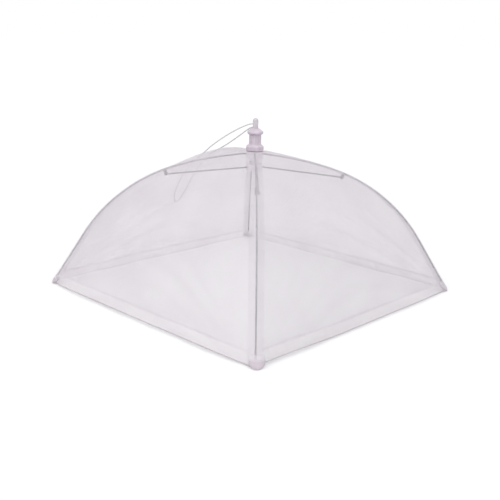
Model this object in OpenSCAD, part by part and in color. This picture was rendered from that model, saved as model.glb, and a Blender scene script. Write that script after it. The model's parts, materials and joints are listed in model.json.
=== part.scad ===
// Folding square net food cover: a net canopy on four sprung wire ribs, with a push-button grip on top,
// a runner with four stretchers below it and a pull cord that opens it.
// Millimetres. The cover stands on the XY plane, centred on Z, with its sides along X and Y.

/* [Base] */
// Side of the square that the rib lines reach on the table
base_side = 400; // [360:5:440]
// Distance of the wire's end from the table, along the rib
wire_end_lift = 6; // [5:0.5:8]

/* [Ribs] */
// Height of the rib hinges above the table
hinge_z = 191.5; // [175:0.5:205]
// Distance of the rib hinges from the centre line
hinge_r = 9.5; // [9:0.1:10]
// Slope of the rib at its hinge, in degrees
root_slope = 5; // [3:0.5:7]
// Slope where the gentle roof bend turns into the shoulder bend, in degrees
shoulder_slope = 17.5; // [15:0.5:20]
// Slope of the straight leg, in degrees
leg_slope = 57.5; // [54:0.5:61]
// Length of the straight leg
leg_len = 82; // [60:1:95]
// Radius of the rib wire
wire_r = 1; // [0.8:0.1:1.1]
// Outer radius of the flattened eye at the rib's hinge
rib_eye_r = 2.2; // [2:0.1:2.4]
// Thickness of that eye
rib_eye_t = 2.4; // [2.3:0.1:2.6]

/* [Stretchers] */
// Distance of the stretcher clips from the centre line, along the table
clip_r = 123.5; // [100:0.5:140]
// Drop of the clip's pivot below the rib wire
clip_drop = 6; // [5:0.25:8]
// Length of the clip along the rib
clip_len = 8; // [6:0.5:10]
// Thickness of the clip's lug across the rib
clip_t = 3.6; // [3:0.1:4]
// Wall of the clip's sleeve round the rib wire
clip_wall = 0.4; // [0.3:0.05:0.45]
// Radius of the stretcher wire
stretcher_r = 0.9; // [0.7:0.05:0.95]
// Outer radius of the stretcher's eyes
stretcher_eye_r = 2; // [1.8:0.1:2.2]
// Thickness of the stretcher's eyes, which is more than the wire's
stretcher_eye_t = 2; // [1.9:0.05:2.2]
// Drop of the runner's pivots below the rib hinges
runner_drop = 18.5; // [18:0.5:22]

/* [Hub, runner and pins] */
// Radius of the rib hub
hub_r = 12; // [12:0.25:13]
// Height of the rib hub
hub_h = 10; // [9:0.25:10.5]
// Height of the hub's roof above the rib hinges
hub_roof = 3.2; // [3:0.1:4]
// Radius of the hinge pins and rivets
pin_r = 0.8; // [0.6:0.05:0.9]
// Distance of the hinge pins' ends from the hub's rim
pin_inset = 1; // [0.6:0.1:1.5]
// Radius of the rivet heads
rivet_head_r = 1.4; // [1.2:0.1:1.6]
// Thickness of the rivet heads
rivet_head_t = 0.7; // [0.5:0.1:1]
// Radius of the runner
runner_r = 11; // [11:0.25:12]
// Height of the runner
runner_h = 9; // [8:0.25:9]
// Distance of the runner's pivots from the centre line
runner_pivot_r = 8.5; // [8.4:0.1:9]

/* [Grip and push button] */
// Radius of the collar that clamps the cloth
collar_r = 12; // [11:0.25:14]
// Height of the collar
collar_h = 8.1; // [6:0.1:10]
// Bevel round the collar's top
collar_bevel = 2.2; // [1:0.1:3]
// Radius of the fluted neck
neck_r = 8.25; // [7.5:0.05:9]
// Height of the neck
neck_h = 13.8; // [10:0.1:18]
// Number of flutes round the neck
flute_count = 12; // [8:1:14]
// Radius of one flute
flute_r = 2; // [1.5:0.1:2.5]
// Depth of one flute
flute_depth = 0.4; // [0.2:0.05:0.5]
// Turn of the first flute about the grip
flute_turn = 27; // [20:1:27]
// Plain length of the neck past each end of its flutes
flute_end = 0.8; // [0.4:0.1:2]
// Radius of the finger flange
flange_r = 11; // [10:0.25:13]
// Height of the finger flange
flange_h = 5.7; // [4:0.1:7]
// Chamfer round both edges of the finger flange
flange_edge = 1.8; // [1:0.1:1.9]
// Radius of the stem that holds the grip in the hub
stem_r = 5.2; // [5:0.05:5.5]
// Radius of the push button's rod
rod_r = 3.75; // [3.5:0.05:4]
// Radius of the cord's way up inside the rod
rod_bore_r = 1.95; // [1.9:0.05:2.1]
// Height of the cone on top of the finger flange
cone_h = 3; // [1:0.1:4]
// Radius of the cone's top
cone_r = 4.6; // [4.4:0.1:6]
// Travel of the push button
press_travel = 13.4; // [12.5:0.1:13.5]
// Height of the button above the cone, which is more than its travel
button_out = 13.6; // [13.6:0.1:20]
// Width of the slot in the grip that the cord passes down as the button is pressed
slot_w = 3.8; // [3.6:0.1:3.9]
// Drop of the upper cord hole below the button's top
upper_hole_drop = 8.1; // [7:0.1:9]
// Drop of the lower cord hole below the button's top
lower_hole_drop = 13.1; // [12:0.1:14]
// Radius of the stop ring under the hub
stop_r = 6; // [5:0.25:7]
// Height of the stop ring
stop_h = 3; // [2:0.25:3.5]

/* [Cloth] */
// Thickness of the net, with the puckers at its seams
net_t = 0.7; // [0.5:0.05:0.9]
// Gap between the rib wire and the cloth over it
cloth_gap = 0.75; // [0.6:0.05:1]
// Gap between the grip's stem and the cloth's hole for it
stem_hole_gap = 1; // [0.5:0.1:1.5]
// Distance from the centre line at which the cloth comes down to the ribs
drop_end_r = 55; // [50:1:60]
// Half width of the seam tape over a rib
tape_half = 9; // [8.6:0.1:10]
// Distance from the centre line at which the tapes start
tape_start_r = 36; // [34:1:45]
// Height of the hem band
hem_h = 14; // [10:0.5:18]
// Thickness of the folded hem
hem_t = 1.4; // [1:0.1:1.6]
// Swell of the panel on the front right
swell_front_right = 6; // [0:0.5:14]
// Swell of the panel on the back right
swell_back_right = 4; // [0:0.5:14]
// Swell of the panel on the back left
swell_back_left = 12; // [0:0.5:14]
// Swell of the panel on the front left
swell_front_left = 6; // [0:0.5:14]
// Distance from the centre line at which the panels swell most
swell_r = 120; // [90:5:150]

/* [Corner pockets] */
// Half the distance between a corner pocket's round ends, across the rib
pocket_reach = 5.7; // [3:0.1:5.7]
// Wall of a corner pocket
pocket_wall = 1.2; // [1:0.1:1.4]
// Height of a corner pocket above the table
pocket_h = 13.5; // [12:0.5:20]
// Radius of the plastic cap on the wire's end
cap_r = 1.7; // [1.6:0.05:1.9]
// Length of that cap
cap_len = 9.5; // [8:0.5:10]

/* [Cord] */
// Diameter of the pull cord
cord_d = 1.8; // [1.4:0.1:1.8]
// Radius of the knot under the runner
knot_r = 3.4; // [2.6:0.1:4]
// Drop of the knot's middle below the runner
knot_drop = 2.5; // [2:0.1:2.5]

/* [Fits] */
// Radial clearance of a pin that turns in its eye
running_fit = 0.05; // [0.02:0.01:0.1]
// Radial clearance of a piece that is pressed in and stays
seat_fit = 0.03; // [0.01:0.01:0.05]
// Gap between neighbouring soft pieces, and between pieces that move past each other
soft_gap = 0.3; // [0.2:0.05:0.4]
// Gap between the cloth and the faces that clamp it
clamp_gap = 0.1; // [0.05:0.05:0.2]

/* [Hidden] */
$fn = 48;
// How far a cut runs past the face that it opens
past = 1;
corners = [["front", 315], ["right", 45], ["back", 135], ["left", 225]];
sides = [
    ["front_right", 0, swell_front_right],
    ["back_right", 90, swell_back_right],
    ["back_left", 180, swell_back_left],
    ["front_left", 270, swell_front_left],
];
corner_sets = ["rib", "clip", "end_cap", "seam_tape", "corner_pocket", "stretcher", "rivet"];
side_sets = ["panel", "hem"];

plastic_colour = [0.80, 0.76, 0.80];
steel_colour = [0.35, 0.33, 0.36];
net_colour = [0.88, 0.86, 0.89];
tape_colour = [0.83, 0.80, 0.84];
cord_colour = [0.78, 0.75, 0.78];

// Heights in the hub stack, from the rib hinges up and down
hub_top = hinge_z + hub_roof;
hub_bottom = hub_top - hub_h;
cloth_z = hub_top + clamp_gap;
collar_z = cloth_z + net_t + clamp_gap;
neck_z = collar_z + collar_h;
flange_z = neck_z + neck_h;
flange_top = flange_z + flange_h;
grip_top = flange_top + cone_h;
button_top = grip_top + button_out;
stop_top = hub_bottom - soft_gap;
runner_z = hinge_z - runner_drop;
runner_top = runner_z + runner_h / 2;
runner_bottom = runner_z - runner_h / 2;
rod_bottom = runner_top + soft_gap;

// Foot of the rib: its line meets the table at a corner, inside the pocket, and the wire ends short of it
foot_r = base_side / sqrt(2);
foot = [foot_r, 0];
leg_dir = [cos(leg_slope), -sin(leg_slope)];
wire_end = foot - leg_dir * wire_end_lift;
pocket_r = cap_r + soft_gap + pocket_wall;
cap_end = foot - leg_dir * pocket_r / sin(leg_slope);

// The two bends of a rib: their radii are solved so that the wire runs from the hinge to its end
leg_top = wire_end - leg_dir * leg_len;
bend_dr = leg_top[0] - hinge_r;
bend_dz = hinge_z - leg_top[1];
roof_sin = sin(shoulder_slope) - sin(root_slope);
roof_cos = cos(root_slope) - cos(shoulder_slope);
shoulder_sin = sin(leg_slope) - sin(shoulder_slope);
shoulder_cos = cos(shoulder_slope) - cos(leg_slope);
bend_det = roof_sin * shoulder_cos - shoulder_sin * roof_cos;
roof_bend = (bend_dr * shoulder_cos - shoulder_sin * bend_dz) / bend_det;
shoulder_bend = (roof_sin * bend_dz - bend_dr * roof_cos) / bend_det;
roof_centre = [hinge_r, hinge_z] - roof_bend * [sin(root_slope), cos(root_slope)];
shoulder_start = roof_centre + roof_bend * [sin(shoulder_slope), cos(shoulder_slope)];
shoulder_centre = shoulder_start - shoulder_bend * [sin(shoulder_slope), cos(shoulder_slope)];
bend_mark_r = 1.05 * wire_r;

// Slope of the wire at a distance r from the centre line, and the point there, off millimetres outside it
function wire_slope(r) =
    r < shoulder_start[0] ? asin((r - roof_centre[0]) / roof_bend)
    : r < leg_top[0] ? asin((r - shoulder_centre[0]) / shoulder_bend)
    : leg_slope;
function roof_point(a, off) = roof_centre + (roof_bend + off) * [sin(a), cos(a)];
function shoulder_point(a, off) = shoulder_centre + (shoulder_bend + off) * [sin(a), cos(a)];
function leg_point(s, off) = leg_top + leg_dir * s + off * [sin(leg_slope), cos(leg_slope)];
function wire_point(r, off) =
    r < shoulder_start[0] ? roof_point(wire_slope(r), off)
    : r < leg_top[0] ? shoulder_point(wire_slope(r), off)
    : leg_point((r - leg_top[0]) / leg_dir[0], off);

// Clip and stretcher
clip_slope = wire_slope(clip_r);
clip_at = wire_point(clip_r, 0);
clip_pivot = clip_at - clip_drop * [sin(clip_slope), cos(clip_slope)];
stretcher_side = clip_t / 2 + soft_gap + stretcher_eye_t / 2;
stretcher_run = [clip_pivot[0] - runner_pivot_r, clip_pivot[1] - runner_z];
stretcher_len = norm(stretcher_run);
stretcher_tilt = atan2(stretcher_run[1], stretcher_run[0]);

// Cloth over the ribs: it lies flat on the hub, drops to the ribs and follows them down to the table
cloth_off = wire_r + cloth_gap;
hub_cover_r = (hub_r + soft_gap) * sqrt(2);
stem_hole = stem_r + stem_hole_gap;
roof_steps = 6;
shoulder_steps = 12;
leg_steps = 5;
panel_edge = tape_half + soft_gap;
panel_bottom = hem_h + soft_gap;

// Where a point of the leg, off millimetres outside the wire, reaches the height z
function leg_at_z(z, off) = (leg_top[1] + off * cos(leg_slope) - z) / sin(leg_slope);
function roof_run(from_r, off) = [
    for (i = [0 : roof_steps])
        roof_point(wire_slope(from_r) + (shoulder_slope - wire_slope(from_r)) * i / roof_steps, off)
];
function shoulder_run(off) = [
    for (i = [1 : shoulder_steps])
        shoulder_point(shoulder_slope + (leg_slope - shoulder_slope) * i / shoulder_steps, off)
];
function leg_run(z, off) = [for (i = [1 : leg_steps]) leg_point(leg_at_z(z, off) * i / leg_steps, off)];
function hub_run(lift) = [
    [stem_hole * sqrt(2), cloth_z + lift],
    [hub_cover_r, cloth_z + lift],
];
// The straight drop from the hub's edge to the rib, at a distance r from the centre line
function drop_at(r, off, lift) =
    let (low = wire_point(drop_end_r, off), top_z = cloth_z + lift)
    [r, top_z + (low[1] - top_z) * (r - hub_cover_r) / (low[0] - hub_cover_r)];
function canopy_line(lift, z) = concat(
    hub_run(lift),
    [drop_at(tape_start_r - 2 * soft_gap, cloth_off + lift, lift)],
    [drop_at(tape_start_r - soft_gap, cloth_off + lift, lift)],
    roof_run(drop_end_r, cloth_off + lift),
    shoulder_run(cloth_off + lift),
    leg_run(z, cloth_off + lift)
);
function tape_line(lift) = concat(
    [drop_at(tape_start_r, cloth_off + lift, lift)],
    roof_run(drop_end_r, cloth_off + lift),
    shoulder_run(cloth_off + lift),
    leg_run(pocket_h + soft_gap, cloth_off + lift)
);
function hem_line(lift) = [
    leg_point(leg_at_z(hem_h, cloth_off + lift), cloth_off + lift),
    leg_point(leg_at_z(soft_gap, cloth_off + lift), cloth_off + lift),
];
function backwards(list) = [for (i = [len(list) - 1 : -1 : 0]) list[i]];
function on_side(list) = [for (p = list) [p[0] / sqrt(2), p[1]]];

// One panel: rows run down the canopy line and columns across it, with the swell between the ribs
panel_columns = 10;
swell_power = ln(0.5) / ln((swell_r - hub_cover_r) / (foot_r - hub_cover_r));
function swell_share(r) =
    let (t = min(1, max(0, (r - hub_cover_r) / (foot_r - hub_cover_r)))) sin(180 * pow(t, swell_power));
function half_width(r) =
    r / sqrt(2) - (r < tape_start_r - 1.5 * soft_gap ? soft_gap : panel_edge * sqrt(2));
function panel_row(p, slope, swell) = [
    for (j = [0 : panel_columns])
        let (
            across = 2 * j / panel_columns - 1,
            lift = swell * swell_share(p[0]) * (1 - across * across),
            side_slope = atan(sqrt(2) * tan(slope)),
            x = p[0] / sqrt(2)
        )
        [x + lift * sin(side_slope), across * half_width(p[0]), p[1] + lift * cos(side_slope)]
];
function line_slope(line, i) =
    let (a = line[max(0, i - 1)], b = line[min(len(line) - 1, i + 1)]) atan2(a[1] - b[1], b[0] - a[0]);
function panel_points(swell, lift) =
    let (line = canopy_line(lift, panel_bottom), under = canopy_line(0, panel_bottom))
    [
        for (i = [0 : len(line) - 1])
            for (q = panel_row(line[i], line_slope(under, i), swell)) q
    ];
panel_rows = len(canopy_line(0, panel_bottom));
function cell(columns, i, j, up) =
    let (n = columns + 1, a = up + i * n + j, b = up + (i + 1) * n + j)
    up > 0 ? [[a, a + 1, b + 1], [a, b + 1, b]] : [[a, b + 1, a + 1], [a, b, b + 1]];
function rim(a, b, up) = [[a, b, b + up], [a, b + up, a + up]];
function sheet_faces(rows, columns) =
    let (n = columns + 1, up = rows * n)
    concat(
        [for (i = [0 : rows - 2]) for (j = [0 : columns - 1]) for (f = cell(columns, i, j, 0)) f],
        [for (i = [0 : rows - 2]) for (j = [0 : columns - 1]) for (f = cell(columns, i, j, up)) f],
        [for (i = [0 : rows - 2]) for (f = rim((i + 1) * n, i * n, up)) f],
        [for (i = [0 : rows - 2]) for (f = rim(i * n + columns, (i + 1) * n + columns, up)) f],
        [for (j = [0 : columns - 1]) for (f = rim(j, j + 1, up)) f],
        [for (j = [0 : columns - 1]) for (f = rim((rows - 1) * n + j + 1, (rows - 1) * n + j, up)) f]
    );

// Pull cord: a loop from the button's upper hole, down over the back left panel and back to its lower hole
cord_hole_r = cord_d / 2 + soft_gap;
upper_hole_z = button_top - upper_hole_drop;
lower_hole_z = button_top - lower_hole_drop;
slot_bottom = lower_hole_z - press_travel - cord_hole_r - soft_gap;
cord_route = [
    [-2.2, 0, 231.7], [-9, -0.6, 230.9], [-20, -1.6, 227], [-36, -3, 219.6], [-52, -4, 211],
    [-67, -5, 202], [-80, -6, 193.4], [-91, -7, 184.9], [-103, -8, 175.2], [-117, -9, 164.1],
    [-131, -10, 150.3], [-145, -10.5, 132.5], [-157, -9, 113.3], [-163.5, -4.5, 100.9], [-165.5, 1, 96.6],
    [-163.5, 6.5, 100.9], [-157, 11, 113.3], [-145, 12.5, 132.5], [-131, 12, 150.3], [-117, 11, 164.1],
    [-103, 10, 175.2], [-90, 8.5, 182.8], [-76, 7, 189], [-60, 5, 197], [-43, 3.5, 206.5],
    [-26, 2, 216.5], [-14, 1, 223.6], [-7, 0.3, 226.4], [-2.2, 0, 226.7],
];
cord_steps = 3;
cord_sides = 8;
cord_ref = [-0.6, 0, 0.8];
function bend(a, b, c, d, t) =
    0.5 * (2 * b + (c - a) * t + (2 * a - 5 * b + 4 * c - d) * t * t + (3 * b - a - 3 * c + d) * t * t * t);
function smooth(route, steps) =
    let (last = len(route) - 1)
    concat(
        [for (i = [0 : last - 1]) for (k = [0 : steps - 1])
            bend(route[max(0, i - 1)], route[i], route[i + 1], route[min(last, i + 2)], k / steps)],
        [route[last]]
    );
function unit(v) = v / norm(v);
function ring(at, along, r) =
    let (side = unit(cross(along, cord_ref)), up = cross(side, along))
    [
        for (k = [0 : cord_sides - 1])
            let (turn = 360 * k / cord_sides) at + r * (cos(turn) * side + sin(turn) * up)
    ];
function tube_points(line, r) =
    let (last = len(line) - 1)
    [
        for (i = [0 : last])
            for (q = ring(line[i], unit(line[min(last, i + 1)] - line[max(0, i - 1)]), r)) q
    ];
function tube_faces(rings, n) = concat(
    [for (i = [0 : rings - 2]) for (k = [0 : n - 1])
        let (a = i * n + k, b = i * n + (k + 1) % n)
        each [[a, b, b + n], [a, b + n, a + n]]],
    [for (k = [1 : n - 2]) [0, k + 1, k]],
    [for (k = [1 : n - 2]) let (e = (rings - 1) * n) [e, e + k, e + k + 1]]
);

// Placing helpers: a corner's frame has X along its rib and Y across it
module at_corner(angle) rotate([0, 0, angle]) children();
module in_rib_plane(p) translate([p[0], 0, p[1]]) children();
module across(r, length, middle = 0)
    translate([0, middle, 0]) rotate([90, 0, 0]) cylinder(r = r, h = length, center = true);
module along_leg(p) in_rib_plane(p) rotate([0, 90 + leg_slope, 0]) children();

// The three stretches of a rib's wire, and the swollen mark where one bend meets the next
module roof_wire(r) arc_wire(roof_centre, roof_bend, root_slope, shoulder_slope, r);
module shoulder_wire(r) arc_wire(shoulder_centre, shoulder_bend, shoulder_slope, leg_slope, r);
module leg_wire(r) along_leg(leg_top) cylinder(r = r, h = leg_len);
module bend_mark(p) in_rib_plane(p) sphere(r = bend_mark_r);
module arc_wire(centre, bend_r, from, to, r)
    in_rib_plane(centre) rotate([90, 0, 0]) rotate([0, 0, 90 - to])
        rotate_extrude(angle = to - from, $fn = 96) translate([bend_r, 0]) circle(r = r, $fn = 24);

// A wall of cloth over one side of the cover, between two lines of its profile
module side_wall(inner, outer, width)
    rotate([90, 0, 0]) linear_extrude(height = width, center = true)
        polygon(concat(on_side(inner), backwards(on_side(outer))));

module grip() color(plastic_colour) difference() {
    rotate_extrude() polygon([
        [rod_r + running_fit, hub_bottom], [stem_r, hub_bottom],
        [stem_r, collar_z], [collar_r, collar_z],
        [collar_r, neck_z - collar_bevel], [collar_r - collar_bevel, neck_z],
        [neck_r, neck_z], [neck_r, flange_z],
        [flange_r - flange_edge, flange_z], [flange_r, flange_z + flange_edge],
        [flange_r, flange_top - flange_edge], [flange_r - flange_edge, flange_top],
        [cone_r, grip_top], [rod_r + running_fit, grip_top],
    ]);
    translate([-2 * flange_r, -slot_w / 2, slot_bottom]) cube([2 * flange_r, slot_w, grip_top]);
    for (i = [0 : flute_count - 1])
        rotate([0, 0, flute_turn + 360 * i / flute_count])
            translate([neck_r + flute_r - flute_depth, 0, neck_z + flute_end])
                cylinder(r = flute_r, h = neck_h - 2 * flute_end);
}

module rib_hub() color(plastic_colour) difference() {
    translate([0, 0, hub_bottom]) cylinder(r = hub_r, h = hub_h);
    translate([0, 0, hub_bottom - past]) cylinder(r = stem_r + seat_fit, h = hub_h + 2 * past);
    for (c = corners) at_corner(c[1]) {
        translate([hinge_r - rib_eye_r - soft_gap, -rib_eye_t / 2 - soft_gap / 2, hub_bottom - past])
            cube([hub_r, rib_eye_t + soft_gap, hinge_z + rib_eye_r + soft_gap - hub_bottom + past]);
        in_rib_plane([hinge_r, hinge_z]) across(pin_r + seat_fit, 2 * hub_r);
    }
}

hinge_pin_len = 2 * (sqrt(hub_r * hub_r - hinge_r * hinge_r) - pin_inset);
module rib_hinge_pins() color(steel_colour)
    for (c = corners) at_corner(c[1]) in_rib_plane([hinge_r, hinge_z]) across(pin_r, hinge_pin_len);

module push_rod() color(plastic_colour) difference() {
    union() {
        translate([0, 0, rod_bottom]) cylinder(r = rod_r, h = button_top - rod_r - rod_bottom);
        translate([0, 0, button_top - rod_r]) sphere(r = rod_r);
        translate([0, 0, stop_top - stop_h]) cylinder(r = stop_r, h = stop_h);
    }
    translate([0, 0, rod_bottom - past])
        cylinder(r = rod_bore_r, h = upper_hole_z + cord_hole_r - rod_bottom + past);
    for (z = [upper_hole_z, lower_hole_z])
        translate([-2 * rod_r, 0, z]) rotate([0, 90, 0]) cylinder(r = cord_hole_r, h = 2 * rod_r);
}

runner_half_chord = sqrt(runner_r * runner_r - runner_pivot_r * runner_pivot_r);
runner_pin_len = 2 * (runner_half_chord - stretcher_side - soft_gap);
module runner() color(plastic_colour) difference() {
    translate([0, 0, runner_bottom]) cylinder(r = runner_r, h = runner_h);
    translate([0, 0, runner_bottom - past]) cylinder(r = rod_bore_r, h = runner_h + 2 * past);
    for (c = corners) at_corner(c[1]) {
        translate([
            runner_pivot_r - stretcher_eye_r - soft_gap,
            stretcher_side - stretcher_eye_t / 2 - soft_gap / 2,
            runner_z - stretcher_eye_r - soft_gap
        ])
            cube([runner_r, stretcher_eye_t + soft_gap, runner_h]);
        in_rib_plane([runner_pivot_r, runner_z])
            across(pin_r + seat_fit, runner_pin_len + 2 * clamp_gap, stretcher_side);
    }
}

module runner_pins() color(steel_colour)
    for (c = corners) at_corner(c[1])
        in_rib_plane([runner_pivot_r, runner_z]) across(pin_r, runner_pin_len, stretcher_side);

module runner_knot() color(cord_colour) difference() {
    translate([0, 0, runner_bottom - knot_drop]) sphere(r = knot_r);
    translate([0, 0, runner_bottom + knot_r]) cube(2 * knot_r, center = true);
}

// Two strands of the cord, side by side, from the knot up to the button's holes
module inner_cord() color(cord_colour) {
    strand_x = cord_d / 2 + clamp_gap / 4;
    translate([strand_x, 0, runner_bottom]) cylinder(r = cord_d / 2, h = upper_hole_z - runner_bottom);
    translate([-strand_x, 0, runner_bottom])
        cylinder(r = cord_d / 2, h = lower_hole_z - cord_hole_r - runner_bottom);
}

module pull_cord() color(cord_colour) {
    line = smooth(cord_route, cord_steps);
    polyhedron(tube_points(line, cord_d / 2), tube_faces(len(line), cord_sides), convexity = 6);
}

module rib(angle) color(steel_colour) at_corner(angle) difference() {
    union() {
        roof_wire(wire_r);
        bend_mark(shoulder_start);
        shoulder_wire(wire_r);
        bend_mark(leg_top);
        leg_wire(wire_r);
        in_rib_plane([hinge_r, hinge_z]) across(rib_eye_r, rib_eye_t);
    }
    in_rib_plane([hinge_r, hinge_z]) across(pin_r + running_fit, 4 * rib_eye_t);
}

module clip(angle) color(steel_colour) at_corner(angle) difference() {
    in_rib_plane(clip_at) rotate([0, clip_slope, 0]) {
        rotate([0, 90, 0]) cylinder(r = wire_r + clip_wall, h = clip_len, center = true);
        translate([0, 0, -clip_drop / 2]) cube([2 * stretcher_eye_r, clip_t, clip_drop], center = true);
        translate([0, 0, -clip_drop]) across(stretcher_eye_r, clip_t);
    }
    roof_wire(wire_r + seat_fit);
    shoulder_wire(wire_r + seat_fit);
    in_rib_plane(clip_pivot) across(pin_r + running_fit, 2 * clip_t);
}

module end_cap(angle) color(plastic_colour) at_corner(angle) difference() {
    union() {
        along_leg(cap_end) sphere(r = cap_r);
        along_leg(cap_end - leg_dir * cap_len) cylinder(r = cap_r, h = cap_len);
    }
    leg_wire(wire_r + seat_fit);
}

module seam_tape(angle) color(tape_colour) at_corner(angle)
    for (m = [0, 1]) mirror([0, m, 0]) intersection() {
        rotate([0, 0, -45]) side_wall(tape_line(0), tape_line(net_t), 2 * base_side);
        translate([0, -tape_half, 0]) cube([base_side, tape_half, 2 * hinge_z]);
    }

module corner_pocket(angle) color(tape_colour) at_corner(angle) difference() {
    pocket_shape(pocket_r, 0, pocket_h);
    pocket_shape(pocket_r - pocket_wall, pocket_wall, pocket_h + past);
}
module pocket_shape(r, from, to) intersection() {
    along_leg(foot - leg_dir * 2 * pocket_h) linear_extrude(height = 3 * pocket_h)
        hull() for (m = [-1, 1]) translate([0, m * pocket_reach]) circle(r = r);
    translate([foot_r - 3 * pocket_h, -pocket_h, from]) cube([4 * pocket_h, 2 * pocket_h, to - from]);
}

module stretcher(angle) color(steel_colour) at_corner(angle) translate([0, stretcher_side, 0])
    in_rib_plane([runner_pivot_r, runner_z]) rotate([0, -stretcher_tilt, 0]) difference() {
        union() {
            rotate([0, 90, 0]) cylinder(r = stretcher_r, h = stretcher_len);
            for (x = [0, stretcher_len]) translate([x, 0, 0]) across(stretcher_eye_r, stretcher_eye_t);
        }
        across(pin_r + running_fit, 4 * stretcher_eye_t);
        translate([stretcher_len, 0, 0]) across(pin_r + seat_fit, 4 * stretcher_eye_t);
    }

// The rivet's shank fills the stretcher's eye and its head lies outside it
module rivet(angle) color(steel_colour) at_corner(angle) in_rib_plane(clip_pivot) {
    across(pin_r, stretcher_eye_t, stretcher_side);
    across(rivet_head_r, rivet_head_t, stretcher_side + stretcher_eye_t / 2 + rivet_head_t / 2);
}

module panel(angle, swell) color(net_colour) rotate([0, 0, angle])
    polyhedron(
        concat(panel_points(swell, 0), panel_points(swell, net_t)),
        sheet_faces(panel_rows, panel_columns),
        convexity = 6
    );

module hem(angle) color(tape_colour) rotate([0, 0, angle]) intersection() {
    side_wall(hem_line(-(hem_t - net_t) / 2), hem_line(net_t + (hem_t - net_t) / 2), 2 * base_side);
    rotate([0, 0, -45]) translate([panel_edge, panel_edge, 0]) cube([base_side, base_side, hinge_z]);
}

grip();
rib_hub();
rib_hinge_pins();
push_rod();
runner();
runner_pins();
runner_knot();
inner_cord();
pull_cord();
for (c = corners) {
    rib(c[1]);
    clip(c[1]);
    end_cap(c[1]);
    seam_tape(c[1]);
    corner_pocket(c[1]);
    stretcher(c[1]);
    rivet(c[1]);
}
for (s = sides) {
    panel(s[1], s[2]);
    hem(s[1]);
}
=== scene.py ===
# Looks of a folding net food cover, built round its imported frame. Metres, in the frame's own axes.
import json
import math

import bmesh
import bpy
import numpy as np
from mathutils import Matrix, Vector, noise


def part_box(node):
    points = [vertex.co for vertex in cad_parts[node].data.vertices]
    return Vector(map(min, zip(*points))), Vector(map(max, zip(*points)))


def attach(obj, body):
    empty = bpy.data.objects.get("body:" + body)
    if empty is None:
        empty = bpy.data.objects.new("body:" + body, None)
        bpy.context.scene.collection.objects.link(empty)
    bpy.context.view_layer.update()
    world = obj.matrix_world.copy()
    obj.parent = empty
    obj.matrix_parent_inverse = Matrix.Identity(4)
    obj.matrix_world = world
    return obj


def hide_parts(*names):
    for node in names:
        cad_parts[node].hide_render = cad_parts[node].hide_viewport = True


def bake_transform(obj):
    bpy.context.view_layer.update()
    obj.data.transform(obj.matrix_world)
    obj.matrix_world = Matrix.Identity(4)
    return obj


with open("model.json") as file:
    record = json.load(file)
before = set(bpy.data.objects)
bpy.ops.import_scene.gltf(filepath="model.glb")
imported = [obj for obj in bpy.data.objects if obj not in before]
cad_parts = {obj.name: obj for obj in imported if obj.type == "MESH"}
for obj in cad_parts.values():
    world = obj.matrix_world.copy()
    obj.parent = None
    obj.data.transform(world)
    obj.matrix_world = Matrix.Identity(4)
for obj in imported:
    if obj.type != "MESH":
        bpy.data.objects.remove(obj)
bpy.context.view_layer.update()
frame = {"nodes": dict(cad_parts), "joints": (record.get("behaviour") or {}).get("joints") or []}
scene = bpy.context.scene
joints = {joint["name"]: joint for joint in frame["joints"]}

# Photograph: its width, and the camera that took it
PHOTO_PIXELS = 500
FOCAL_PIXELS = 765.0
CAMERA_AZIMUTH = math.radians(43.495)
CAMERA_ELEVATION = math.radians(18.4)
CAMERA_ROLL = math.radians(1.585)
CAMERA_DISTANCE = 1.1008
AIM_ASIDE = -0.0028
AIM_HEIGHT = 0.0541

# Cover: its sides and corners, as turns about Z in degrees, and a square's diagonal over its side
DIAGONAL = math.sqrt(2)
SIDES = {"front_right": 0, "back_right": 90, "back_left": 180, "front_left": 270}
CORNERS = {"front": 315, "right": 45, "back": 135, "left": 225}

# Ribs: slopes of the wire, and the sizes that place its bends
ROOT_SLOPE = math.radians(5)
SHOULDER_SLOPE = math.radians(17.5)
LEG_SLOPE = math.radians(57.5)
LEG_LENGTH = 0.082
BASE_SIDE = 0.4
WIRE_LIFT = 0.006

# Net: how it lies on the ribs and round the hub, and the turn of its weave in degrees
NET_OFF = 0.0021
NET_THICK = 0.00014
NET_EDGE_LIFT = 0.0016
NET_GRAIN = {"front_right": 0, "back_right": 45, "back_left": 0, "front_left": 45}
STEM_HOLE = 0.0062
HUB_COVER = 0.00045
HUB_MARGIN = 0.0003
DROP_END = 0.055
CORNER_SOFTNESS = 0.003

# Form of the cloth: each side swells between its ribs and bulges at its hem
SWELL = {"front_right": 0.006, "back_right": 0.004, "back_left": 0.012, "front_left": 0.006}
SWELL_RADIUS = 0.12
HEM_BULGE = {"front_right": 0.004, "back_right": 0.001, "back_left": 0.001, "front_left": 0.0075}
BULGE_START = 0.55
BULGE_SQUARENESS = 5
FREE_LEAST = 0.35

# Slack: its height, and its waves in a metre across and down
BROAD_SLACK = 0.0011
BROAD_WAVES = (14, 9)
FINE_SLACK = 0.0006
FINE_WAVES = (40, 16)
FINE_LAYER = 5.0
SLACK_SHIFT = 0.37
SLACK_FADE = 0.25

# Pull lines: shallow folds that fan out from the lower corners
PULL_DEPTH = 0.0009
PULL_LINES = 34
PULL_CORE = 0.02
PULL_ROUNDING = 0.03
PULL_START = 0.5

# Ridge: how the cloth sinks on to the wire
RIDGE_DIP = 0.0004
RIDGE_REACH = 0.002

# Seam tapes
TAPE_HALF = 0.009
TAPE_START = 0.02
TAPE_TAPER = 0.3
TAPE_LIFT = 0.00045
TAPE_THICK = 0.00014
TAPE_TUCK = 0.003

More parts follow.
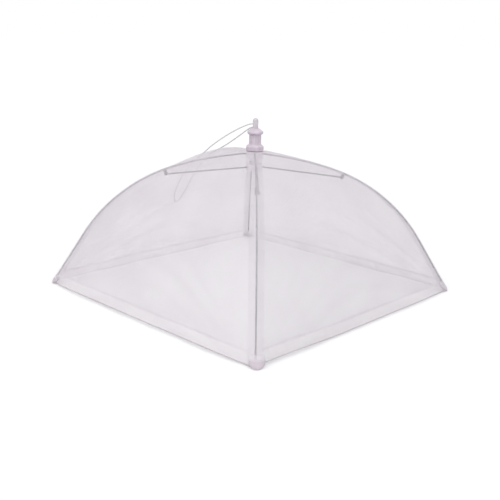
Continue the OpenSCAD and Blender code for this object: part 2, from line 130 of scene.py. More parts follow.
# Hems, and where one of them rides up beside a pocket, in shares of its side
HEM_HEIGHT = 0.014
HEM_TUCK = 0.001
HEM_END = 0.0065
HEM_FOLD = 0.00055
HEM_EDGE_REACH = 0.0015
HEM_THICK = 0.00016
HEM_RIDE = 0.0028
RIDE_SIDE = "front_right"
RIDE_START = 0.25
RIDE_RUN = 0.55
RIDE_END = 0.06
RIDE_TOP = 0.7

# Corner pockets: a toe with a cuff above it, bent round the rib's leg
POCKET_HEIGHT = 0.0134
TOE_HEIGHT = 0.0078
POCKET_HALF_WIDTH = 0.0092
POCKET_HALF_DEPTH = 0.0026
POCKET_GIRTH = 4 * POCKET_HALF_WIDTH
POCKET_SQUARENESS = 0.65
POCKET_WRAP = 0.55
POCKET_WRAP_RADIUS = 0.004
POCKET_SHIFT = {"front": (0.002, 0.0014), "right": (0, 0), "back": (0, 0), "left": (0, 0)}
CREASE_DEPTH = 0.0003
CREASE_SCALE = 240
CREASE_START = 0.004

# Stitches
STITCH_STEP = 0.0032
STITCH_LENGTH = 0.0024
STITCH_RADIUS = 0.0002
STITCH_INSET = 0.0014
STITCH_STAND = 0.7
TOE_STITCHES = (TOE_HEIGHT - 0.0008, TOE_HEIGHT + 0.0004)
TOE_STITCH_SCALE = 1.02
TOE_STITCH_ROOT = 0.9

# Cord: its route from the button's upper hole, over the back left panel, to the lower hole
CORD_DIAMETER = 0.0018
CORD_ROUTE_MM = [
    (-2.2, 0, 231.7), (-9, -0.6, 230.9), (-20, -1.6, 227), (-36, -3, 219.6), (-52, -4, 211),
    (-67, -5, 202), (-80, -6, 193.4), (-91, -7, 184.9), (-103, -8, 175.2), (-117, -9, 164.1),
    (-131, -10, 150.3), (-145, -10.5, 132.5), (-157, -9, 113.3), (-163.5, -4.5, 100.9),
    (-165.5, 1, 96.6), (-163.5, 6.5, 100.9), (-157, 11, 113.3), (-145, 12.5, 132.5),
    (-131, 12, 150.3), (-117, 11, 164.1), (-103, 10, 175.2), (-90, 8.5, 182.8), (-76, 7, 189),
    (-60, 5, 197), (-43, 3.5, 206.5), (-26, 2, 216.5), (-14, 1, 223.6), (-7, 0.3, 226.4),
    (-2.2, 0, 226.7),
]
STRAND_DROP = 0.0062

# Knot under the runner: a trefoil, in shares of the room it has
KNOT_SPREAD = 0.216
KNOT_LOOPS = 1.6
KNOT_RISE = 0.42
KNOT_DROP = 0.1
KNOT_MERGE = 1e-6

# Grip: its sizes from the cone on top down, its fillets, and the cord's slot in its back
CONE_HEIGHT = 0.003
CONE_RADIUS = 0.0046
FLANGE_HEIGHT = 0.0057
FLANGE_RADIUS = 0.011
FLANGE_EDGE = 0.0018
FLANGE_DISH = 0.0002
NECK_HEIGHT = 0.0138
NECK_RADIUS = 0.00825
COLLAR_HEIGHT = 0.0081
COLLAR_RADIUS = 0.012
COLLAR_BEVEL = 0.0022
STEM_RADIUS = 0.0052
GRIP_BORE = 0.0038
STEM_FILLET = 0.0004
COLLAR_FOOT_FILLET = 0.0007
COLLAR_EDGE_FILLET = 0.0008
COLLAR_TOP_FILLET = 0.0006
NECK_FOOT_FILLET = 0.0003
NECK_TOP_FILLET = 0.0004
FLANGE_FOOT_FILLET = 0.0006
FLANGE_EDGE_FILLET = 0.001
FLANGE_TOP_FILLET = 0.0012
CONE_FILLET = 0.0005
BORE_FILLET = 0.0002
FLUTES = 12
FLUTE_TURN = math.radians(27)
FLUTE_DEPTH = 0.0005
FLUTE_FADE = 0.0018
FLUTE_SHARPNESS = 1.3
SLOT_WIDTH = 0.0038
SLOT_DEPTH = 0.0144

# Fineness of the meshes, and the angles in degrees over which an edge is sharp
LINE_SAMPLES = 600
ROOF_POINTS = 60
SHOULDER_POINTS = 80
LEG_POINTS = 20
AREA_STEPS = 400
NET_GRID = (36, 72)
HEM_GRID = (48, 26)
TAPE_GRID = (24, 120)
POCKET_SIDES = 48
CORD_STEPS = 8
CORD_SIDES = 12
STRAND_STEPS = 24
STRAND_SIDES = 10
KNOT_STEPS = 96
FILLET_STEPS = 6
NECK_ROWS = 14
FLUTE_STEPS = 16
CORD_SHARP = 60
GRIP_SHARP = 40
CUT_REACH = 1e-8
MERGE_REACH = 1e-7
LEAST_RADIUS = 1e-4

# Weaves: their pitches, their yarns' widths and their sheen
NET_PITCH = 0.001
NET_YARN = 0.00019
SLEEVE_YARN = 0.00011
HEM_YARN = 0.0001
HEM_EDGE_YARN = 0.0004
NET_SHEEN = 0.15
POCKET_PITCH = 0.0004
TOE_YARN = 0.0003
CUFF_YARN = 0.00013
POCKET_SHEEN = 0.2

# Yarns: how far they wander, in pitches, their soft edges, and their patches of deeper colour
YARN_WANDER = 1.6
WANDER_SCALE = 60.0
YARN_SOFTNESS = 0.25
PATCH_SCALE = 22.0

# Stage: a white floor under a white sky, and two broad lamps from a place, with a strength and a tint
FLOOR_REACH = 30
FLOOR_DROP = 0.0004
FLOOR_GREY = 0.8
FLOOR_SEEN_GREY = 0.86
FLOOR_GLOW = 0.1
SKY_TINT = (0.97, 0.98, 1, 1)
SKY_LIGHT = 0.66
LAMP_SPREAD = math.radians(60)
LAMPS = {
    "left_light": ((0.2, -1.4, 1.8), 0.95, (1, 0.99, 0.98)),
    "right_light": ((1.4, -0.3, 1.8), 0.85, (1, 0.98, 0.98)),
}
NET_FACES_SEEN_THROUGH = 48


# Camera
def photo_camera():
    """The photograph's camera, which looks at a point close to the cover's axis"""
    a, e, roll = CAMERA_AZIMUTH, CAMERA_ELEVATION, CAMERA_ROLL
    side = Vector((math.cos(a), math.sin(a), 0))
    way = Vector((math.sin(a) * math.cos(e), -math.cos(a) * math.cos(e), math.sin(e)))
    place = CAMERA_DISTANCE * way
    ahead = (side * AIM_ASIDE + Vector((0, 0, AIM_HEIGHT)) - place).normalized()
    right = ahead.cross(Vector((0, 0, 1))).normalized()
    up = right.cross(ahead)
    right, up = (
        math.cos(roll) * right + math.sin(roll) * up,
        math.cos(roll) * up - math.sin(roll) * right,
    )
    camera = bpy.data.objects.new("photo_camera", bpy.data.cameras.new("photo_camera"))
    camera.matrix_world = Matrix.Translation(place) @ Matrix((right, up, -ahead)).transposed().to_4x4()
    camera.data.lens = FOCAL_PIXELS / PHOTO_PIXELS * camera.data.sensor_width
    scene.collection.objects.link(camera)
    scene.camera = camera


photo_camera()


# Node helpers
def add_node(tree, kind, inputs=None, **settings):
    node = tree.nodes.new(kind)
    for key, value in settings.items():
        setattr(node, key, value)
    for key, value in (inputs or {}).items():
        if isinstance(value, bpy.types.NodeSocket):
            tree.links.new(value, node.inputs[key])
        else:
            node.inputs[key].default_value = value
    return node


def math_node(tree, operation, first, second=0.0):
    return add_node(tree, "ShaderNodeMath", {0: first, 1: second}, operation=operation).outputs[0]


def vector_node(tree, operation, first, second):
    return add_node(tree, "ShaderNodeVectorMath", {0: first, 1: second}, operation=operation).outputs[0]


def ranged(tree, value, span, result, smooth=False):
    """The value carried over from one span of numbers to another, and held at its ends"""
    return add_node(
        tree,
        "ShaderNodeMapRange",
        {0: value, 1: span[0], 2: span[1], 3: result[0], 4: result[1]},
        interpolation_type="SMOOTHSTEP" if smooth else "LINEAR",
    ).outputs[0]


def mixed_colour(tree, share, first, second):
    mix = add_node(tree, "ShaderNodeMix", data_type="RGBA")
    for socket, value in ((mix.inputs[0], share), (mix.inputs[6], first), (mix.inputs[7], second)):
        if isinstance(value, bpy.types.NodeSocket):
            tree.links.new(value, socket)
        else:
            socket.default_value = value
    return mix.outputs[2]


def shade(red, green, blue):
    """A colour given in screen values from 0 to 255, as the linear colour that a shader takes"""

    def linear(value):
        share = value / 255
        return share / 12.92 if share <= 0.04045 else ((share + 0.055) / 1.055) ** 2.4

    return (linear(red), linear(green), linear(blue), 1)


def grey(level):
    return (level, level, level, 1)


def fresh_material(name):
    material = bpy.data.materials.new(name)
    material.use_nodes = True
    tree = material.node_tree
    return material, tree, tree.nodes["Principled BSDF"]


def speckle(tree, vector, scale, detail=3.0, roughness=0.5):
    """Cloudy noise from 0 to 1, with a scale in clouds to the metre"""
    inputs = {"Vector": vector, "Scale": scale, "Detail": detail, "Roughness": roughness}
    return add_node(tree, "ShaderNodeTexNoise", inputs).outputs["Fac"]


def bumped(tree, shader, height, strength, distance):
    inputs = {"Height": height, "Strength": strength, "Distance": distance}
    bump = add_node(tree, "ShaderNodeBump", inputs)
    tree.links.new(bump.outputs["Normal"], shader.inputs["Normal"])


# Materials
def woven(name, pitch, yarn, pale, deep, sheen):
    """Open weave of yarns a pitch apart on the cloth's own flat map, see-through between them"""
    material, tree, shader = fresh_material(name)
    flat = add_node(tree, "ShaderNodeUVMap", uv_map="flat").outputs["UV"]
    cloud = {"Vector": flat, "Scale": WANDER_SCALE, "Detail": 1.0}
    wander = add_node(tree, "ShaderNodeTexNoise", cloud).outputs["Color"]
    centred = vector_node(tree, "SUBTRACT", wander, (0.5, 0.5, 0.5))
    drift = vector_node(tree, "MULTIPLY", centred, (YARN_WANDER * pitch,) * 3)
    split = add_node(tree, "ShaderNodeSeparateXYZ", {0: vector_node(tree, "ADD", flat, drift)})
    half = yarn / pitch / 2
    edge = (half * (1 - YARN_SOFTNESS), half * (1 + YARN_SOFTNESS))
    yarns = []
    for axis in (0, 1):
        turn = math_node(tree, "FRACT", math_node(tree, "DIVIDE", split.outputs[axis], pitch))
        away = math_node(tree, "ABSOLUTE", math_node(tree, "SUBTRACT", turn, 0.5))
        yarns.append(ranged(tree, away, edge, (1, 0), smooth=True))
    tree.links.new(math_node(tree, "MAXIMUM", *yarns), shader.inputs["Alpha"])
    patch = ranged(tree, speckle(tree, flat, PATCH_SCALE), (0.3, 0.7), (0, 1), smooth=True)
    tree.links.new(mixed_colour(tree, patch, pale, deep), shader.inputs["Base Color"])
    bumped(tree, shader, math_node(tree, "ADD", *yarns), strength=0.4, distance=yarn)
    shader.inputs["Roughness"].default_value = 0.62
    shader.inputs["Specular IOR Level"].default_value = 0.35
    shader.inputs["Sheen Weight"].default_value = sheen
    shader.inputs["Sheen Roughness"].default_value = 0.45
    return material


def moulded_plastic(name, pale, deep, roughness):
    """Satin moulded plastic with faint flow marks, fine grain and small scuffs"""
    material, tree, shader = fresh_material(name)
    place = add_node(tree, "ShaderNodeTexCoord").outputs["Object"]
    flow = speckle(tree, place, scale=160.0, detail=2.0)
    streaks = ranged(tree, flow, (0.35, 0.65), (0, 1), smooth=True)
    tree.links.new(mixed_colour(tree, streaks, pale, deep), shader.inputs["Base Color"])
    scuffs = speckle(tree, place, scale=900.0, detail=4.0, roughness=0.65)
    dullness = ranged(tree, scuffs, (0.45, 0.75), (roughness, roughness + 0.18))
    tree.links.new(dullness, shader.inputs["Roughness"])
    grain = speckle(tree, place, scale=2600.0, detail=2.0)
    bumped(tree, shader, grain, strength=0.08, distance=0.0002)
    shader.inputs["Coat Weight"].default_value = 0.12
    shader.inputs["Coat Roughness"].default_value = 0.3
    return material


def drawn_steel(name, pale, deep, metallic, roughness):
    """Drawn wire or stamped steel with a patchy oxide and fine draw marks"""
    material, tree, shader = fresh_material(name)
    place = add_node(tree, "ShaderNodeTexCoord").outputs["Object"]
    oxide = speckle(tree, place, scale=300.0, detail=4.0, roughness=0.6)
    patches = ranged(tree, oxide, (0.35, 0.7), (0, 1), smooth=True)
    tree.links.new(mixed_colour(tree, patches, pale, deep), shader.inputs["Base Color"])
    marks = speckle(tree, place, scale=1500.0, detail=3.0)
    dullness = ranged(tree, marks, (0.3, 0.7), (roughness - 0.08, roughness + 0.12))
    tree.links.new(dullness, shader.inputs["Roughness"])
    grain = speckle(tree, place, scale=4000.0, detail=2.0)
    bumped(tree, shader, grain, strength=0.12, distance=0.0001)
    shader.inputs["Metallic"].default_value = metallic
    return material


def braided_cord(name, pale, deep, carriers, lay_length):
    """Braided cord: two sets of strands that wind opposite ways, on a map of turn and length"""
    material, tree, shader = fresh_material(name)
    flat = add_node(tree, "ShaderNodeUVMap", uv_map="flat").outputs["UV"]
    split = add_node(tree, "ShaderNodeSeparateXYZ", {0: flat})
    around = math_node(tree, "MULTIPLY", split.outputs[0], float(carriers))
    along = math_node(tree, "DIVIDE", split.outputs[1], lay_length)
    strands = []
    for operation in ("ADD", "SUBTRACT"):
        phase = math_node(tree, "MULTIPLY", math_node(tree, operation, around, along), 2 * math.pi)
        strands.append(math_node(tree, "SINE", phase))
    height = ranged(tree, math_node(tree, "MAXIMUM", *strands), (-1, 1), (0, 1))
    # Painted shade: the colour darkens from the strands' crowns into the grooves between them
    tree.links.new(mixed_colour(tree, height, deep, pale), shader.inputs["Base Color"])
    bumped(tree, shader, height, strength=0.6, distance=0.0002)
    shader.inputs["Roughness"].default_value = 0.7
    shader.inputs["Sheen Weight"].default_value = 0.2
    return material


def sewing_thread(name, pale, deep):
    """Twisted sewing thread"""
    material, tree, shader = fresh_material(name)
    place = add_node(tree, "ShaderNodeTexCoord").outputs["Object"]
    fibres = speckle(tree, place, scale=2200.0, detail=2.0)
    twist = ranged(tree, fibres, (0.35, 0.65), (0, 1))
    tree.links.new(mixed_colour(tree, twist, pale, deep), shader.inputs["Base Color"])
    bumped(tree, shader, twist, strength=0.4, distance=0.0001)
    shader.inputs["Roughness"].default_value = 0.6
    return material


NET = woven("net", NET_PITCH, NET_YARN, shade(242, 237, 242), shade(235, 228, 235), NET_SHEEN)
SLEEVE = woven("sleeve_net", NET_PITCH, SLEEVE_YARN, shade(242, 237, 243), shade(235, 229, 236), NET_SHEEN)
HEM_CLOTH = woven("hem_cloth", NET_PITCH, HEM_YARN, shade(249, 245, 248), shade(244, 238, 243), NET_SHEEN)
HEM_EDGE = woven(
    "hem_edge", NET_PITCH, HEM_EDGE_YARN, shade(232, 226, 230), shade(224, 217, 222), NET_SHEEN
)
TOE_CLOTH = woven(
    "toe_cloth", POCKET_PITCH, TOE_YARN, shade(214, 204, 213), shade(206, 195, 205), POCKET_SHEEN
)
CUFF_CLOTH = woven(
    "cuff_cloth", POCKET_PITCH, CUFF_YARN, shade(242, 236, 242), shade(235, 228, 235), POCKET_SHEEN
)
THREAD = sewing_thread("sewing_thread", shade(240, 235, 240), shade(230, 224, 230))
LILAC = moulded_plastic("lilac_plastic", shade(206, 195, 206), shade(197, 184, 197), roughness=0.36)
PALE_LILAC = moulded_plastic(
    "pale_lilac_plastic", shade(236, 227, 234), shade(228, 217, 225), roughness=0.4
)
BUTTON = moulded_plastic("button_plastic", shade(207, 200, 206), shade(196, 188, 195), roughness=0.32)
WIRE = drawn_steel("dark_wire", shade(70, 66, 72), shade(44, 42, 46), metallic=0.7, roughness=0.42)
CLIP = drawn_steel("clip_steel", shade(44, 42, 46), shade(28, 26, 30), metallic=0.5, roughness=0.45)
PIN = drawn_steel("pin_steel", shade(176, 174, 178), shade(140, 138, 142), metallic=1.0, roughness=0.3)
# The cord's second colour is the painted shade in its braid's grooves
CORD = braided_cord(
    "pull_cord_braid", shade(228, 226, 229), shade(202, 199, 203), carriers=8, lay_length=0.004
)


# Mesh helpers
def mapped_grid(across, along, place, flat, closed=False):
    """A grid with points at place(a, b), a across and b along from 0 to 1, and flat(a, b) as its map"""
    bm = bmesh.new()
    weave = bm.loops.layers.uv.new("flat")
    bmesh.ops.create_grid(bm, x_segments=across, y_segments=along, size=1)
    shares = {vertex: ((vertex.co.x + 1) / 2, (vertex.co.y + 1) / 2) for vertex in bm.verts}
    for face in bm.faces:
        for loop in face.loops:
            loop[weave].uv = flat(*shares[loop.vert])[:2]
    for vertex, share in shares.items():
        vertex.co = place(*share)
    if closed:
        bmesh.ops.remove_doubles(bm, verts=bm.verts, dist=MERGE_REACH)
    return bm


def finished_piece(name, bm, material, sharp=None, outward=False):
    """The mesh as a smooth piece, with sharp edges round an open sheet and over an angle in degrees"""
    if outward:
        bmesh.ops.recalc_face_normals(bm, faces=bm.faces)
    for face in bm.faces:
        face.smooth = True
    for edge in bm.edges:
        edge.smooth = not edge.is_boundary
    mesh = bpy.data.meshes.new(name)
    bm.to_mesh(mesh)
    bm.free()
    mesh.materials.append(material)
    if sharp is not None:
        mesh.set_sharp_from_angle(angle=math.radians(sharp))
    piece = bpy.data.objects.new(name, mesh)
    scene.collection.objects.link(piece)
    return piece


def thicken(piece, thickness):
    """Gives a sheet its thickness, half on each side"""
    wall = piece.modifiers.new("wall", "SOLIDIFY")
    wall.thickness = thickness
    wall.offset = 0
    wall.use_even_offset = True


def about_z(degrees):
    return Matrix.Rotation(math.radians(degrees), 3, "Z")


def line_length(line):
    return sum((b - a).length for a, b in zip(line, line[1:]))


# Cord
def smooth_route(points, steps):
    """The route as one smooth curve through its points"""
    last = len(points) - 1
    line = []
    for i in range(last):
        a, b, c, d = points[max(0, i - 1)], points[i], points[i + 1], points[min(last, i + 2)]
        for k in range(steps):
            t = k / steps
            square, cube = 2 * a - 5 * b + 4 * c - d, 3 * b - a - 3 * c + d
            line.append(0.5 * (2 * b + (c - a) * t + square * t**2 + cube * t**3))
    return line + [points[last]]


def tube(line, radius, sides):
    """A closed tube along a line of points, mapped by its turn and its length"""
    lengths = [0.0]
    for a, b in zip(line, line[1:]):
        lengths.append(lengths[-1] + (b - a).length)
    rings = []
    side = None
    for i, point in enumerate(line):
        ahead = (line[min(i + 1, len(line) - 1)] - line[max(i - 1, 0)]).normalized()
        if side is None:
            side = ahead.orthogonal()
        side = (side - ahead * side.dot(ahead)).normalized()
        rings.append((point, side.copy(), ahead.cross(side)))

    def place(a, b):
        point, first, second = rings[round(b * (len(line) - 1))]
        turn = 2 * math.pi * a
        return point + radius * (math.cos(turn) * first + math.sin(turn) * second)

    def flat(a, b):
        return a, lengths[round(b * (len(line) - 1))]

    bm = mapped_grid(sides, len(line) - 1, place, flat, closed=True)
    bmesh.ops.holes_fill(bm, edges=[edge for edge in bm.edges if edge.is_boundary], sides=0)
    return bm


cord_line = smooth_route([Vector(point) / 1000 for point in CORD_ROUTE_MM], CORD_STEPS)
cord_length = line_length(cord_line)
cord_tube = tube(cord_line, CORD_DIAMETER / 2, CORD_SIDES)
pull_cord = finished_piece("pull_cord_braided", cord_tube, CORD, CORD_SHARP, outward=True)
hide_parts("pull_cord")
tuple(cord_line[0])
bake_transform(pull_cord)
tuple(cord_line[0])


# Canopy line: the rib's own bends, solved from its ends, and the cloth that lies on them
hinge = Vector(joints["rib_fold_front"]["pos_m"])
hinge_at = np.array((math.hypot(hinge.x, hinge.y), hinge.z))
foot_at = np.array((BASE_SIDE / DIAGONAL, 0))
leg_way = np.array((math.cos(LEG_SLOPE), -math.sin(LEG_SLOPE)))
leg_top = foot_at - leg_way * (WIRE_LIFT + LEG_LENGTH)


def square_out(slope):
    """The direction square to the wire, in its plane, where it has this slope"""
    return np.array((math.sin(slope), math.cos(slope)))


def chord(start, end):
    """What a bend of unit radius between two slopes covers, outwards and down"""
    return math.sin(end) - math.sin(start), math.cos(start) - math.cos(end)


roof_bend, shoulder_bend = np.linalg.solve(
    np.array((chord(ROOT_SLOPE, SHOULDER_SLOPE), chord(SHOULDER_SLOPE, LEG_SLOPE))).T,
    np.array((leg_top[0] - hinge_at[0], hinge_at[1] - leg_top[1])),
)
roof_centre = hinge_at - roof_bend * square_out(ROOT_SLOPE)
shoulder_centre = roof_centre + (roof_bend - shoulder_bend) * square_out(SHOULDER_SLOPE)
cloth_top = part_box("rib_hub")[1].z + HUB_COVER
hub_edge = (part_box("rib_hub")[1].x + HUB_MARGIN) * DIAGONAL


def canopy_line():
    """Distances down the middle of a side's cloth, with the radius at the rib, height and slope there"""
    roof = [
        roof_centre + (roof_bend + NET_OFF) * square_out(a)
        for a in np.linspace(ROOT_SLOPE, SHOULDER_SLOPE, ROOF_POINTS)
    ]
    shoulder = [
        shoulder_centre + (shoulder_bend + NET_OFF) * square_out(a)
        for a in np.linspace(SHOULDER_SLOPE, LEG_SLOPE, SHOULDER_POINTS)[1:]
    ]
    leg_start = leg_top + NET_OFF * square_out(LEG_SLOPE)
    leg_run = (leg_start[1] - NET_EDGE_LIFT) / math.sin(LEG_SLOPE)
    leg = [leg_start + leg_way * leg_run * k / LEG_POINTS for k in range(1, LEG_POINTS + 1)]
    on_rib = [point for point in roof + shoulder + leg if point[0] > DROP_END]
    points = np.array([(STEM_HOLE * DIAGONAL, cloth_top), (hub_edge, cloth_top)] + on_rib)
    steps = np.hypot(np.diff(points[:, 0]) / DIAGONAL, np.diff(points[:, 1]))
    far = np.concatenate(([0], np.cumsum(steps)))
    even = np.linspace(0, far[-1], LINE_SAMPLES)
    radius = np.interp(even, far, points[:, 0])
    height = np.interp(even, far, points[:, 1])
    reach = max(1, round(CORNER_SOFTNESS / even[1] / 2))
    window = np.ones(2 * reach + 1) / (2 * reach + 1)
    for values in (radius, height):
        padded = np.concatenate((
            values[0] - (values[1] - values[0]) * np.arange(reach, 0, -1),
            values,
            values[-1] + (values[-1] - values[-2]) * np.arange(1, reach + 1),
        ))
        values[:] = np.convolve(padded, window, "valid")
    slope = np.arctan2(-np.gradient(height), np.gradient(radius) / DIAGONAL)
    return even, radius, height, slope


LINE_FAR, LINE_RADIUS, LINE_HEIGHT, LINE_SLOPE = canopy_line()
PANEL_LENGTH = LINE_FAR[-1]
PANEL_HALF = LINE_RADIUS[-1] / DIAGONAL
swell_power = math.log(0.5) / math.log((SWELL_RADIUS - hub_edge) / (foot_at[0] - hub_edge))


def far_at_radius(radius):
    return float(np.interp(radius, LINE_RADIUS, LINE_FAR))


def far_at_height(height):
    return float(np.interp(-height, -LINE_HEIGHT, LINE_FAR))


def line_at(far):
    """Half of the side's width, the height and the slope at a distance down the cloth"""
    radius = float(np.interp(far, LINE_FAR, LINE_RADIUS))
    height = float(np.interp(far, LINE_FAR, LINE_HEIGHT))
    return radius / DIAGONAL, height, float(np.interp(far, LINE_FAR, LINE_SLOPE))


NET_LENGTH = far_at_height(HEM_HEIGHT - HEM_TUCK)
NET_HALF = line_at(NET_LENGTH)[0]
net_rows = [line_at((k + 0.5) / AREA_STEPS * NET_LENGTH)[0] for k in range(AREA_STEPS)]


def smooth_step(value):
    value = min(1.0, max(0.0, value))
    return value * value * (3 - 2 * value)


def cloth_rise(side, far, half, share):
    """How far a side's cloth stands off its ruled surface: the swell, the hem's bulge and small folds"""
    radius = half * DIAGONAL
    down = min(1.0, max(0.0, (radius - hub_edge) / (foot_at[0] - hub_edge)))
    edge = max(FREE_LEAST * half, half - TAPE_HALF * DIAGONAL)
    across = min(1.0, abs(share) * half / edge)
    free = 1 - across * across
    rise = SWELL[side] * math.sin(math.pi * down**swell_power) * free
    low = smooth_step((down - BULGE_START) / (1 - BULGE_START))
    rise += HEM_BULGE[side] * low * (1 - across**BULGE_SQUARENESS)

    shift = SIDES[side] * SLACK_SHIFT
    off = share * half
    broad = Vector((off * BROAD_WAVES[0] + shift, far * BROAD_WAVES[1], shift))
    fine = Vector((off * FINE_WAVES[0] - shift, far * FINE_WAVES[1] + shift, FINE_LAYER))
    slack = BROAD_SLACK * noise.noise(broad) + FINE_SLACK * noise.noise(fine)

    aside = (1 - math.sqrt(share * share + PULL_ROUNDING)) * half
    fan = math.atan2(PANEL_LENGTH - far + PULL_CORE, aside + PULL_CORE)
    pull = PULL_DEPTH * math.sin(PULL_LINES * fan) * smooth_step((down - PULL_START) / (1 - PULL_START))
    rise += (slack + pull) * free * smooth_step(down / SLACK_FADE)

    ridge = (1 - abs(share)) * half / DIAGONAL
    return rise - RIDGE_DIP * max(0.0, 1 - ridge / RIDGE_REACH) ** 2


def hem_ride(side, far, share):
    """How far the hem rides up beside the front pocket's right side"""
    if side != RIDE_SIDE or share > 0:
        return 0.0
    near = smooth_step((-share - RIDE_START) / RIDE_RUN) * smooth_step((1 + share) / RIDE_END)
    return HEM_RIDE * near * smooth_step((far / PANEL_LENGTH - RIDE_TOP) / (1 - RIDE_TOP))


def cloth_point(side, far, share, lift=0.0):
    """A point of a side's cloth: far down its middle, and a share from the middle (0) to a rib (1 or -1)"""
    half, height, slope = line_at(far)
    height += hem_ride(side, far, share)
    rise = lift + cloth_rise(side, far, half, share)
    out = half + rise * math.sin(slope)
    return about_z(SIDES[side]) @ Vector((out, share * out, height + rise * math.cos(slope)))


def fold_with(piece, side):
    """Bakes the piece's placement into its mesh"""
    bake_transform(piece)
    turn = about_z(-SIDES[side])
    for vertex in piece.data.vertices:
        point = turn @ vertex.co
        half = max(point.x, LEAST_RADIUS)


# Stitches
def add_stitch(bm, point, ahead, normal):
    """One stitch, as a long grain of thread that lies on the cloth"""
    across = normal.cross(ahead).normalized()
    axes = Matrix((ahead * STITCH_LENGTH / 2, across * STITCH_RADIUS, normal * STITCH_RADIUS))
    lie = Matrix.Translation(point) @ axes.transposed().to_4x4()
    bmesh.ops.create_icosphere(bm, subdivisions=1, radius=1, matrix=lie)


def stitch_row(bm, place, start, end):
    """Stitches a step apart in a row, where place(distance) gives a point and the way out of the cloth"""
    count = int((end - start) / STITCH_STEP)
    for k in range(count):
        far = start + (k + 0.5) * STITCH_STEP
        before, _ = place(far - STITCH_LENGTH / 2)
        after, _ = place(far + STITCH_LENGTH / 2)
        point, normal = place(far)
        add_stitch(bm, point, (after - before).normalized(), normal)


# Net panels and hems, in halves that meet on each side's middle line
def net_half(side, corner, way):
    """Half of a side's net, from its middle line to the rib on its way: 1 is anticlockwise, from above"""
    grain = about_z(NET_GRAIN[side])

    def place(a, b):
        return cloth_point(side, b * NET_LENGTH, way * a)

    def flat(a, b):
        far = b * NET_LENGTH
        return grain @ Vector((a * way * line_at(far)[0], far, 0))

    bm = mapped_grid(*NET_GRID, place, flat)
    net = finished_piece(f"net_{side}_{corner}_half", bm, NET, outward=True)
    thicken(net, NET_THICK)
    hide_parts(f"panel_{side}")
    fold_with(net, side)
    return net


def hem_end(half):
    """The share of half a side at which its hem ends, inside the pocket"""
    return 1 - HEM_END * DIAGONAL / half


def hem_half(side, corner, way):
    """Half of a side's hem: a strip folded round the net's lower edge, with two rows of stitches"""
    top = PANEL_LENGTH - HEM_HEIGHT / math.sin(LINE_SLOPE[-1])
    drop = PANEL_LENGTH - top
    fold = math.pi * HEM_FOLD
    girth = 2 * drop + fold

    def place(a, b):
        walked = b * girth
        if walked < drop:
            far, lift = top + walked, -HEM_FOLD
        elif walked > drop + fold:
            far, lift = top + girth - walked, HEM_FOLD
        else:
            turn = (walked - drop) / HEM_FOLD
            far, lift = PANEL_LENGTH + HEM_FOLD * math.sin(turn), -HEM_FOLD * math.cos(turn)
        half = line_at(min(far, PANEL_LENGTH))[0]
        point = cloth_point(side, min(far, PANEL_LENGTH), way * a * hem_end(half), lift)
        return point - Vector((0, 0, max(0.0, far - PANEL_LENGTH)))

    def flat(a, b):
        return a * way * PANEL_HALF, b * girth

    bm = mapped_grid(*HEM_GRID, place, flat)
    weave = bm.loops.layers.uv["flat"]
    for face in bm.faces:
        from_fold = [abs(loop[weave].uv.y - girth / 2) for loop in face.loops]
        face.material_index = int(max(from_fold) < HEM_EDGE_REACH)
    hem = finished_piece(f"hem_{side}_{corner}_half", bm, HEM_CLOTH, outward=True)
    hem.data.materials.append(HEM_EDGE)
    thicken(hem, HEM_THICK)
    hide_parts(f"hem_{side}")
    fold_with(hem, side)

    bm = bmesh.new()
    length = PANEL_HALF * hem_end(PANEL_HALF)
    slope = LINE_SLOPE[-1]
    normal = about_z(SIDES[side]) @ Vector((math.sin(slope), 0, math.cos(slope)))
    stand = HEM_FOLD + HEM_THICK * STITCH_STAND
    for far in (top + STITCH_INSET, PANEL_LENGTH - 2 * STITCH_INSET):
        half = line_at(far)[0]

        def place_stitch(walked):
            return cloth_point(side, far, way * walked / half, stand), normal

        stitch_row(bm, place_stitch, 0, length)
    stitches = finished_piece(f"hem_stitches_{side}_{corner}_half", bm, THREAD)
    fold_with(stitches, side)
    return hem, stitches


for side, turn in SIDES.items():
    for corner, corner_turn in CORNERS.items():
        if (corner_turn - turn) % 360 not in (45, 315):
            continue
        way = 1 if (corner_turn - turn) % 360 == 45 else -1
        net = net_half(side, corner, way)
        hem, stitches = hem_half(side, corner, way)


# Seam tapes over the ribs
def side_at(corner, way):
    """The side on one hand of a corner's rib: 1 is anticlockwise, seen from above"""
    return next(side for side, turn in SIDES.items() if (turn - CORNERS[corner] - way * 45) % 360 == 0)


def tape_point(corner, far, off, lift):
    """A point of the tape, off metres from the rib's plane"""
    half = line_at(far)[0]
    way = 1 if off > 0 else -1
    return cloth_point(side_at(corner, way), far, way * (abs(off) * DIAGONAL / half - 1), lift)


def tape_half(far):
    """Half of the tape's width, which narrows towards the hub"""
    return min(TAPE_HALF, TAPE_TAPER * line_at(far)[0] * DIAGONAL)


def tape_ends():
    """How far down the cloth the tape begins and ends"""
    return far_at_radius(TAPE_START), far_at_height(POCKET_HEIGHT - TAPE_TUCK)


